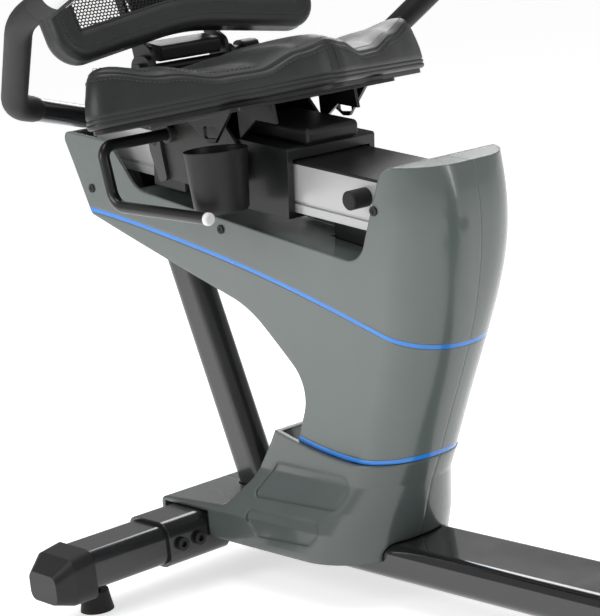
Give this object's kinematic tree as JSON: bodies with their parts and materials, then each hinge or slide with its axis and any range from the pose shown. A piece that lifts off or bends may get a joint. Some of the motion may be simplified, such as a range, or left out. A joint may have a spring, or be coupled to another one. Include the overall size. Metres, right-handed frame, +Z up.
{
  "type": "recumbent exercise bike",
  "caption": "Recumbent exercise bike with sliding seat, reclining mesh backrest, side handles, moulded pedestal, belt drive with flywheel, and tilting console.",
  "frame": {"origin": "middle of the bike at floor level", "axes": "+X forward from the seat towards the pedals and console, +Y to the rider's left, +Z up"},
  "size_m": [1.5, 0.665, 1.246],
  "materials": {
    "frame_black": "gloss black powder coat",
    "rail_silver": "satin silver paint",
    "cover_gray": "glossy gunmetal gray",
    "boot_gray": "glossy charcoal",
    "accent_blue": "glossy blue",
    "cap_black": "satin black",
    "plastic_black": "fine grained black",
    "rubber_black": "matt black",
    "bracket_black": "satin black paint",
    "screw_dark": "black oxide",
    "leatherette": "charcoal leatherette",
    "mesh_black": "open stretch mesh",
    "foam_black": "matt black skin",
    "pulse_steel": "brushed",
    "cap_white": "glossy off-white",
    "paddle_gray": "satin gray",
    "steel": "plain",
    "wheel_iron": "machined",
    "screen_dark": "polished dark screen",
    "key_green": "glossy green",
    "key_red": "glossy red",
    "dial_silver": "satin silver"
  },
  "bodies": {
    "base": {"base_beam": "frame_black", "rear_stabiliser": "frame_black", "front_stabiliser": "frame_black", "end_caps": "cap_black", "feet": "rubber_black", "stabiliser_collars": "frame_black", "stabiliser_bolts": "screw_dark", "seat_rail": "rail_silver", "rail_top_strip": "rail_silver", "rail_bumpers": "rubber_black", "rail_supports": "frame_black", "upper_cover_right": "cover_gray", "upper_cover_left": "cover_gray", "pedestal_cover_right": "cover_gray", "pedestal_cover_left": "cover_gray", "accent_trims": "accent_blue", "boot_right": "boot_gray", "boot_left": "boot_gray", "cover_screws": "screw_dark", "drive_post": "frame_black", "drive_belt": "rubber_black", "drive_cover_right": "cover_gray", "drive_cover_left": "cover_gray", "console_mast": "frame_black", "front_handlebar": "frame_black", "handlebar_grips": "foam_black"},
    "carriage": {"carriage": "bracket_black", "glide_pads": "plastic_black", "carriage_cover": "plastic_black", "side_plates": "bracket_black", "seat_mount": "bracket_black", "seat_pan": "plastic_black", "seat_cushion": "leatherette", "side_cup": "plastic_black", "side_handles": "frame_black", "handle_grips": "foam_black", "pulse_plates": "pulse_steel", "backrest_uprights": "bracket_black"},
    "backrest": {"backrest_fork": "bracket_black", "latch_box": "plastic_black", "backrest_frame": "leatherette", "backrest_mesh": "mesh_black"},
    "recline_knob": {"recline_knob": "plastic_black"},
    "seat_lever": {"adjust_lever": "bracket_black", "lever_end_cap": "cap_white"},
    "clamp_shoe": {"clamp_shoe": "plastic_black"},
    "paddle": {"paddle_lever": "paddle_gray"},
    "crank": {"crankset": "bracket_black", "drive_pulley": "plastic_black"},
    "pedal_right": {"pedal_right": "plastic_black"},
    "pedal_left": {"pedal_left": "plastic_black"},
    "flywheel": {"flywheel": "wheel_iron"},
    "brake_arm": {"brake_arm": "steel"},
    "console": {"console_housing": "cover_gray", "console_screen": "screen_dark"},
    "start_key": {"start_key": "key_green"},
    "stop_key": {"stop_key": "key_red"},
    "level_dial": {"level_dial": "dial_silver"},
    "transport_wheel_right": {"transport_wheel_right": "rubber_black"},
    "transport_wheel_left": {"transport_wheel_left": "rubber_black"}
  },
  "joints": [
    {"name": "seat_slide", "type": "slide", "parent": "base", "child": "carriage", "axis": [0.9921, 0, -0.1253], "range_m": [-0.08, 0.09]},
    {"name": "backrest_recline", "type": "hinge", "parent": "carriage", "child": "backrest", "pos_m": [-0.589, 0, 0.578], "axis": [0, -1, 0], "range_deg": [-4, 12]},
    {"name": "recline_knob_turn", "type": "hinge", "parent": "carriage", "child": "recline_knob", "pos_m": [-0.589, 0.092, 0.578], "axis": [0, 1, 0], "range_deg": [0, 90]},
    {"name": "seat_lever_lift", "type": "hinge", "parent": "carriage", "child": "seat_lever", "pos_m": [-0.541, -0.1, 0.51], "axis": [0, -1, 0], "range_deg": [0, 12], "stiffness_Nm_per_rad": 2, "springref_deg": -5.73},
    {"name": "clamp_shoe_slide", "type": "slide", "parent": "carriage", "child": "clamp_shoe", "axis": [0, -1, 0], "range_m": [0, 0.0013]},
    {"name": "paddle_swing", "type": "hinge", "parent": "carriage", "child": "paddle", "pos_m": [-0.57, -0.0688, 0.5], "axis": [0, -1, 0], "range_deg": [0, 25], "stiffness_Nm_per_rad": 0.05, "springref_deg": -11.46},
    {"name": "crank_turn", "type": "hinge", "parent": "base", "child": "crank", "pos_m": [0.338, 0, 0.325], "axis": [0, 1, 0], "continuous": true},
    {"name": "pedal_right_turn", "type": "hinge", "parent": "crank", "child": "pedal_right", "pos_m": [0.503, -0.146, 0.325], "axis": [0, 1, 0], "continuous": true},
    {"name": "pedal_left_turn", "type": "hinge", "parent": "crank", "child": "pedal_left", "pos_m": [0.173, 0.146, 0.325], "axis": [0, 1, 0], "continuous": true},
    {"name": "flywheel_turn", "type": "hinge", "parent": "base", "child": "flywheel", "pos_m": [0.525, 0, 0.268], "axis": [0, 1, 0], "continuous": true},
    {"name": "brake_lift", "type": "hinge", "parent": "base", "child": "brake_arm", "pos_m": [0.463, 0, 0.42], "axis": [0, -1, 0], "range_deg": [0, 4]},
    {"name": "console_tilt", "type": "hinge", "parent": "base", "child": "console", "pos_m": [0.346, 0, 1.115], "axis": [0, 1, 0], "range_deg": [-8, 12]},
    {"name": "start_key_press", "type": "slide", "parent": "console", "child": "start_key", "axis": [0.829, 0, -0.5592], "range_m": [0, 0.0015], "stiffness_N_per_m": 400},
    {"name": "stop_key_press", "type": "slide", "parent": "console", "child": "stop_key", "axis": [0.829, 0, -0.5592], "range_m": [0, 0.0015], "stiffness_N_per_m": 400},
    {"name": "level_dial_turn", "type": "hinge", "parent": "console", "child": "level_dial", "pos_m": [0.25905, 0, 1.10488], "axis": [-0.829, 0, 0.5592], "continuous": true},
    {"name": "transport_wheel_right_spin", "type": "hinge", "parent": "base", "child": "transport_wheel_right", "pos_m": [0.723, -0.176, 0.036], "axis": [0, 1, 0], "continuous": true},
    {"name": "transport_wheel_left_spin", "type": "hinge", "parent": "base", "child": "transport_wheel_left", "pos_m": [0.723, 0.176, 0.036], "axis": [0, 1, 0], "continuous": true}
  ],
  "couplings": [
    {"joint": "flywheel_turn", "follows": "crank_turn", "ratio": 5.2},
    {"joint": "clamp_shoe_slide", "follows": "seat_lever_lift", "m_per_rad": 0.006}
  ]
}
